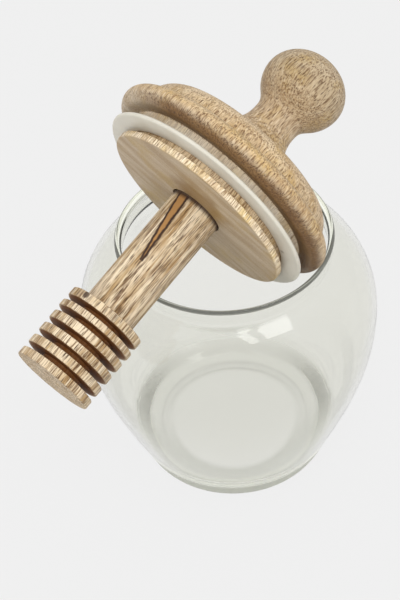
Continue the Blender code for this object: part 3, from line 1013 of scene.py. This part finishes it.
@dataclass
class GlassJar(TurnedPiece):
    """The blown glass jar: a thick floor, a round belly, a low collar and a fire-polished lip."""

    height: float = 120.9 * MM
    base_radius: float = 37.2 * MM
    heel_round: float = 5.0 * MM
    heel_angle: float = 22.0
    belly: Point = (62.9 * MM, 78.0 * MM)
    belly_fullness: float = 22.5 * MM
    heel_fullness: float = 36.0 * MM
    shoulder: Point = (24.9 * MM, 34.5 * MM)
    collar_radius: float = 43.9 * MM
    collar_foot: float = 111.7 * MM
    lip_radius: float = 45.0 * MM
    lip_round: float = 0.95 * MM
    wall: float = 2.0 * MM
    collar_wall: float = 1.7 * MM
    floor: float = 5.0 * MM
    floor_flat: float = 28.0 * MM
    floor_crease: Point = (35.6 * MM, 9.4 * MM)
    floor_rise: float = 17.0 * MM
    punt: Point = (31.0 * MM, 0.7 * MM)

    def outer_wall(self) -> list[Point]:
        """Draws the outside from the shoulder's top down to the heel."""
        middle = self.belly[0] - self.shoulder[0]
        start = math.degrees(math.acos((self.collar_radius + 2.4 * MM - middle) / self.shoulder[0]))
        line = Outline().arc((middle, self.belly[1]), self.shoulder[0], start, 0, 44, self.shoulder[1])
        slope = math.radians(self.heel_angle)
        foot = (self.base_radius + self.heel_round * math.cos(slope),
                self.heel_round - self.heel_round * math.sin(slope))
        line.curve((self.belly[0], self.belly[1] - self.belly_fullness),
                   (foot[0] + math.sin(slope) * self.heel_fullness,
                    foot[1] + math.cos(slope) * self.heel_fullness), foot, 48)
        return line.points

    def inner_wall(self, outer: list[Point]) -> list[Point]:
        """Draws the inside wall, one wall's thickness in from the outside, from top to bottom.

        Args:
            outer: the outside from top to bottom.

        Returns:
            The inside's points.
        """
        moved = []
        for i, point in enumerate(outer):
            along = Vector(outer[min(i + 1, len(outer) - 1)]) - Vector(outer[max(i - 1, 0)])
            inwards = Vector((along.y, -along.x)).normalized() * self.wall
            moved.append((point[0] + inwards.x, point[1] + inwards.y))
        return moved

    def section(self) -> list[Point]:
        """Draws the whole section, from the middle of the inside floor, over the lip, to the underside."""
        outer = self.outer_wall()
        inner = [p for p in self.inner_wall(outer) if p[1] > self.floor_rise]
        low = inner[-1]
        lean = (Vector(inner[-2]) - Vector(low)).normalized() * 6.0 * MM
        crease = self.floor_crease
        bore = self.collar_radius - self.collar_wall
        line = Outline().to((0.0, self.floor), (self.floor_flat, self.floor))
        line.curve((self.floor_flat + 7 * MM, self.floor),
                   (crease[0] - 3.6 * MM, crease[1] - 2.2 * MM), crease, 14)
        line.curve((crease[0] + 4.0 * MM, crease[1] + 2.9 * MM), (low[0] - lean.x, low[1] - lean.y), low, 12)
        line.to(*reversed(inner[:-1]))
        line.curve((inner[0][0] - 1.5 * MM, inner[0][1] + 0.9 * MM), (bore, self.collar_foot - 1.2 * MM),
                   (bore, self.collar_foot + 1.6 * MM), 8)
        neck = self.height - 3.2 * self.lip_round
        line.to((bore, neck))
        top = (self.lip_radius - self.lip_round, self.height - self.lip_round)
        line.curve((bore, neck + 1.1 * MM), (top[0] - self.lip_round, top[1] - 1.0 * MM),
                   (top[0] - self.lip_round, top[1]), 6)
        line.arc(top, self.lip_round, 180, 0, 16)
        line.curve((self.lip_radius, top[1] - 1.0 * MM), (self.collar_radius, neck + 1.0 * MM),
                   (self.collar_radius, neck), 6)
        line.to((self.collar_radius, self.collar_foot + 1.5 * MM))
        line.curve((self.collar_radius, self.collar_foot - 0.3 * MM),
                   (outer[0][0] - 1.2 * MM, outer[0][1] + 0.85 * MM), outer[0], 8)
        line.to(*outer[1:])
        line.arc((self.base_radius, self.heel_round), self.heel_round, -self.heel_angle, -90, 14)
        line.to((self.punt[0] + 2.4 * MM, 0.0))
        line.curve((self.punt[0] + 0.9 * MM, 0.0), (self.punt[0], self.punt[1]),
                   (self.punt[0] - 2.2 * MM, self.punt[1]), 6)
        line.to((0.0, self.punt[1]))
        return line.held()

    def build(self, tree: Tree) -> Piece:
        """Turns the jar and dresses it in glass.

        Args:
            tree: the turning tree.

        Returns:
            The jar's piece.
        """
        glass = BlownGlass().material()
        return self.finish(grown(drawn(self.name, self.section()), tree, self.sizes(glass), self.place))


@dataclass
class WoodenLid(TurnedPiece):
    """The turned lid: a plug with a groove, a bead under a domed rim, a narrow neck and a round knob."""

    plug_radius: float = 41.5 * MM
    plug_edge: float = 3.0 * MM
    groove: Point = (38.4 * MM, 9.2 * MM)
    band_radius: float = 41.8 * MM
    valley: float = 13.7 * MM
    bead: Point = (46.8 * MM, 16.4 * MM)
    bead_round: float = 4.7 * MM
    dome: Point = (35.5 * MM, 21.7 * MM)
    dome_round: float = 9.1 * MM
    neck_foot: Point = (24.0 * MM, 32.2 * MM)
    waist: Point = (10.1 * MM, 48.5 * MM)
    knob: Point = (17.9 * MM, 66.8 * MM)
    knob_rise: Point = (15.2 * MM, 16.4 * MM)
    socket: Point = (11.75 * MM, 14.0 * MM)

    def notch(self) -> Point:
        """Gives the point where the dome's round meets the bead's."""
        between = Vector(self.bead) - Vector(self.dome)
        along = (self.dome_round ** 2 - self.bead_round ** 2 + between.length_squared) / (2 * between.length)
        across = math.sqrt(self.dome_round ** 2 - along ** 2)
        unit = between.normalized()
        return tuple(Vector(self.dome) + unit * along + Vector((-unit.y, unit.x)) * across)

    def section(self) -> list[Point]:
        """Draws the lid from the knob's top, down its outer side, to the bottom of the dipper's socket."""
        centre = (0.0, self.knob[1])
        line = Outline().arc(centre, self.knob[0], 90, 0, 28, self.knob_rise[0])
        line.points[0] = (0.0, line.points[0][1])
        line.arc(centre, self.knob[0], 0, -40, 12, self.knob_rise[1])
        joint = line.points[-1]
        line.curve((joint[0] - 3.2 * MM, joint[1] - 3.4 * MM), (self.waist[0], self.waist[1] + 3.4 * MM),
                   self.waist, 14)
        line.curve((self.waist[0], self.waist[1] - 7.5 * MM), (self.neck_foot[0] - 10 * MM,
                   self.neck_foot[1] + 3.0 * MM), self.neck_foot, 22)
        notch = self.notch()
        turn = [math.degrees(math.atan2(notch[1] - c[1], notch[0] - c[0])) for c in (self.dome, self.bead)]
        line.arc(self.dome, self.dome_round, 82, turn[0] + 3, 26)
        line.arc(self.bead, self.bead_round, turn[1] - 6, -72, 26)
        line.curve((self.bead[0] - 1.4 * MM, self.bead[1] - 5.0 * MM),
                   (self.band_radius, self.valley - 0.1 * MM), (self.band_radius, self.valley - 1.6 * MM), 10)
        line.corner((self.band_radius, self.groove[1]), (self.groove[0], self.groove[1]), 0.5 * MM)
        line.to(self.groove)
        line.to((self.groove[0], self.plug_edge))
        line.corner((self.plug_radius, self.plug_edge), (self.plug_radius, 0.0), 0.45 * MM)
        line.corner((self.plug_radius, 0.0), (0.0, 0.0), 0.45 * MM)
        line.corner((self.socket[0], 0.0), self.socket, 0.3 * MM)
        line.to((self.socket[0] + 0.3 * MM, self.socket[1]), (0.0, self.socket[1]))
        return line.held()

    def build(self, tree: Tree) -> Piece:
        """Turns the lid and dresses it in wood.

        Args:
            tree: the turning tree.

        Returns:
            The lid's piece.
        """
        wood = LidWood("mango_wood_oiled", self.place, Sheen.OILED).material()
        return self.finish(grown(drawn(self.name, self.section()), tree, self.sizes(wood), self.place))


@dataclass
class SealRing(TurnedPiece):
    """The soft silicone ring in the lid's groove, dished a little towards the knob."""

    radius: float = 47.8 * MM
    bore: float = 39.0 * MM
    height: float = 4.7 * MM
    dish: float = 0.4 * MM
    thickness: float = 1.8 * MM

    def section(self) -> list[Point]:
        """Draws the ring's closed section."""
        rear = self.height + self.thickness
        edge = self.radius - self.thickness / 2
        middle = self.height + self.dish + self.thickness / 2
        line = Outline().to((self.bore, rear - 0.3 * MM)).to((self.bore + 0.3 * MM, rear))
        line.arc((edge, middle), self.thickness / 2, 80, -80, 12)
        line.to((self.bore + 0.3 * MM, self.height), (self.bore, self.height + 0.3 * MM))
        return line.held()

    def build(self, tree: Tree) -> Piece:
        """Turns the ring and dresses it in silicone.

        Args:
            tree: the turning tree.

        Returns:
            The ring's piece.
        """
        rubber = MouldedSilicone(self.place).material()
        section = drawn(self.name, self.section(), closed=True)
        return self.finish(grown(section, tree, self.sizes(rubber), self.place))


@dataclass
class HoneyDipper(TurnedPiece):
    """The honey dipper: one turned rod, with six discs at its end that hold the honey between them."""

    rod_radius: float = 11.1 * MM
    sunk: float = 13.7 * MM
    reach: float = 88.25 * MM
    disc_radius: float = 17.0 * MM
    discs: int = 6
    disc: float = 3.55 * MM
    thin_disc: int = 4
    thin: float = 2.8 * MM
    gap: float = 2.6 * MM
    core_radius: float = 9.0 * MM
    edge: float = 0.4 * MM
    radius_spread: float = 0.012
    seed: int = 7

    def rod_section(self) -> list[Point]:
        """Draws the rod from its glued end to inside the first disc, and its core on to inside the last."""
        pitch = self.disc + self.gap
        shoulder = -self.reach + (self.discs - 1) * pitch - (self.disc - self.thin) + self.disc / 2
        line = Outline().to((0.0, self.sunk))
        line.corner((self.rod_radius, self.sunk), (self.rod_radius, 0.0), self.edge)
        line.to((self.rod_radius, shoulder), (self.core_radius, shoulder))
        line.to((self.core_radius, -self.reach + self.disc / 2), (0.0, -self.reach + self.disc / 2))
        return line.held()

    def disc_section(self) -> list[Point]:
        """Draws one disc, whose lower face is at height 0."""
        line = Outline().to((0.0, self.disc))
        line.corner((self.disc_radius, self.disc), (self.disc_radius, 0.0), self.edge)
        line.corner((self.disc_radius, 0.0), (0.0, 0.0), self.edge)
        line.to((0.0, 0.0))
        return line.held()

    def build(self, tree: Tree) -> Piece:
        """Turns the rod, repeats the discs along its end and dresses both in wood.

        Args:
            tree: the ribbing tree.

        Returns:
            The dipper's piece.
        """
        wood = DipperWood("mango_wood_bare", self.place, Sheen.BARE, pale="e9d7ba", body="ab8b5f",
                          dark="5e3d1c", pore="3e2712", fleck="ead8b8", pore_mm=(4.6, 0.46, 0.46),
                          fibre_mm=(12.0, 0.5, 0.44), figure_mm=(45.0, 4.0, 2.2), fleck_mm=(11.0, 0.8, 0.7),
                          waver_mm=1.0, thread_depth=0.9, pore_depth=0.95, yellowing=0.12).material()
        one_disc = drawn("one_disc", self.disc_section())
        sizes = {**self.sizes(wood), "Disc section": one_disc, "Discs": self.discs,
                 "Tip height": -self.reach, "Pitch": self.disc + self.gap, "Thin disc": self.thin_disc,
                 "Thin share": self.thin / self.disc, "Thin drop": self.disc - self.thin,
                 "Radius spread": self.radius_spread, "Seed": self.seed}
        piece = grown(drawn(self.name, self.rod_section()), tree, sizes, self.place)
        bpy.data.objects.remove(one_disc)
        return self.finish(piece)


@dataclass(frozen=True)
class Softbox:
    """A softbox that faces the jar.

    It hangs in the direction towards, its width runs along across, and its size is its width and height. Its
    radiance is how bright its face is, where the paper's is 0.87, and mirrored says whether glass shows it.
    """

    name: str
    towards: Triple
    across: Triple
    size: Point
    radiance: float
    mirrored: bool = True


@dataclass
class Studio:
    """The pale floor, the soft light and the camera of the photograph."""

    camera_at: Triple = (-11.76 * MM, -528.77 * MM, 628.86 * MM)
    pitch: float = 45.92
    roll: float = -4.18
    focal_px: float = 1800.0
    sky: str = "f0f0f0"
    softbox_distance: float = 1.5
    softbox_aim: float = 0.1
    floor_reach: float = 9.0
    floor_drop: float = 0.4 * MM
    softboxes: tuple[Softbox, ...] = (
        Softbox("key_softbox", (0.41, -0.27, 0.85), (0.4, 0.26, -0.11), (0.46, 0.6), 2.6),
        Softbox("strip_softbox", (0.166, -0.417, 0.87), (0.4, 0.26, -0.11), (0.16, 0.6), 2.6),
        Softbox("fill_softbox", (-0.12, -0.62, 0.77), (1.0, 0.0, 0.0), (0.8, 0.8), 4.2, mirrored=False))

    def camera(self) -> None:
        """Sets the camera at the photograph's angle."""
        pitch, roll = math.radians(self.pitch), math.radians(self.roll)
        ahead = Vector((0.0, math.cos(pitch), -math.sin(pitch)))
        right = Vector((1.0, 0.0, 0.0))
        up = right.cross(ahead)
        across = right * math.cos(roll) + up * math.sin(roll)
        upright = -right * math.sin(roll) + up * math.cos(roll)
        lens = bpy.data.cameras.new("camera")
        lens.sensor_width = SENSOR_MM
        lens.lens = self.focal_px / IMAGE_HEIGHT_PX * SENSOR_MM
        lens.clip_start, lens.clip_end = 0.01, 50.0
        eye = bpy.data.objects.new("camera", lens)
        turn = Matrix((across, upright, -ahead)).transposed().to_4x4()
        eye.matrix_world = Matrix.Translation(Vector(self.camera_at)) @ turn
        bpy.context.scene.collection.objects.link(eye)
        bpy.context.scene.camera = eye

    def floor(self) -> None:
        """Lays the pale floor."""
        mesh = bpy.data.meshes.new("floor")
        reach = self.floor_reach
        mesh.from_pydata([(-reach, -reach, 0), (reach, -reach, 0), (reach, reach, 0), (-reach, reach, 0)],
                         [], [(0, 1, 2, 3)])
        mesh.materials.append(StudioPaper().material())
        sheet = bpy.data.objects.new("floor", mesh)
        sheet.location.z = -self.floor_drop
        bpy.context.scene.collection.objects.link(sheet)

    def hang(self, box: Softbox) -> None:
        """Hangs a softbox so that it faces the jar.

        Args:
            box: the softbox.
        """
        data = bpy.data.lights.new(box.name, "AREA")
        data.shape = "RECTANGLE"
        data.size, data.size_y = box.size
        data.energy = box.radiance * math.pi * box.size[0] * box.size[1]
        away = Vector(box.towards).normalized()
        side = (Vector(box.across) - away * away.dot(Vector(box.across))).normalized()
        lamp = bpy.data.objects.new(box.name, data)
        turn = Matrix((side, away.cross(side), away)).transposed().to_4x4()
        lamp.visible_glossy = lamp.visible_transmission = box.mirrored
        middle = away * self.softbox_distance + Vector((0.0, 0.0, self.softbox_aim))
        lamp.matrix_world = Matrix.Translation(middle) @ turn
        bpy.context.scene.collection.objects.link(lamp)

    def world(self) -> None:
        """Fills the room with soft light: brightest overhead, and dimmest a little above the horizon."""
        room = bpy.data.worlds.new("room")
        room.use_nodes = True
        tree = room.node_tree
        tree.nodes.clear()
        up = add(tree, "ShaderNodeSeparateXYZ", {0: add(tree, "ShaderNodeTexCoord").outputs["Generated"]})
        level = add(tree, "ShaderNodeMapRange", {
            "Value": up.outputs["Z"], "From Min": -0.02, "From Max": 1.0})
        light = ramp(add(tree, "ShaderNodeValToRGB", {"Fac": level}), [
            (0.0, srgb(self.sky)), (0.05, srgb(self.sky)), (0.3, (0.8, 0.8, 0.8, 1.0)),
            (0.6, (0.85, 0.85, 0.85, 1.0)), (1.0, (0.95, 0.95, 0.95, 1.0))])
        glow = add(tree, "ShaderNodeBackground", {"Color": light.outputs["Color"], "Strength": 1.0})
        add(tree, "ShaderNodeOutputWorld", {"Surface": glow})
        bpy.context.scene.world = room

    def build(self) -> None:
        """Sets up the whole studio."""
        self.camera()
        self.floor()
        self.world()
        for box in self.softboxes:
            self.hang(box)
        bpy.context.scene.view_settings.view_transform = "Standard"


def main() -> None:
    """Loads the frame, sets up the studio and builds each piece in turn."""
    logging.basicConfig(level=logging.INFO, format="%(name)s: %(message)s")
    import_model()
    Studio().build()
    turning = turning_tree()
    ribbing = ribbing_tree(turning)
    made = [
        GlassJar("jar_glass", "glass_jar", "clear_glass", UPRIGHT, steps=192).build(turning),
        WoodenLid("lid_turned", "lid_wood", "mango_wood", LID_LEAN).build(turning),
        SealRing("seal_silicone", "seal_ring", "silicone", SEAL_LEAN).build(turning),
        HoneyDipper("dipper_turned", "dipper_rod", "dipper_wood", ROD_LEAN, steps=96).build(ribbing),
    ]


if __name__ == "__main__":
    main()
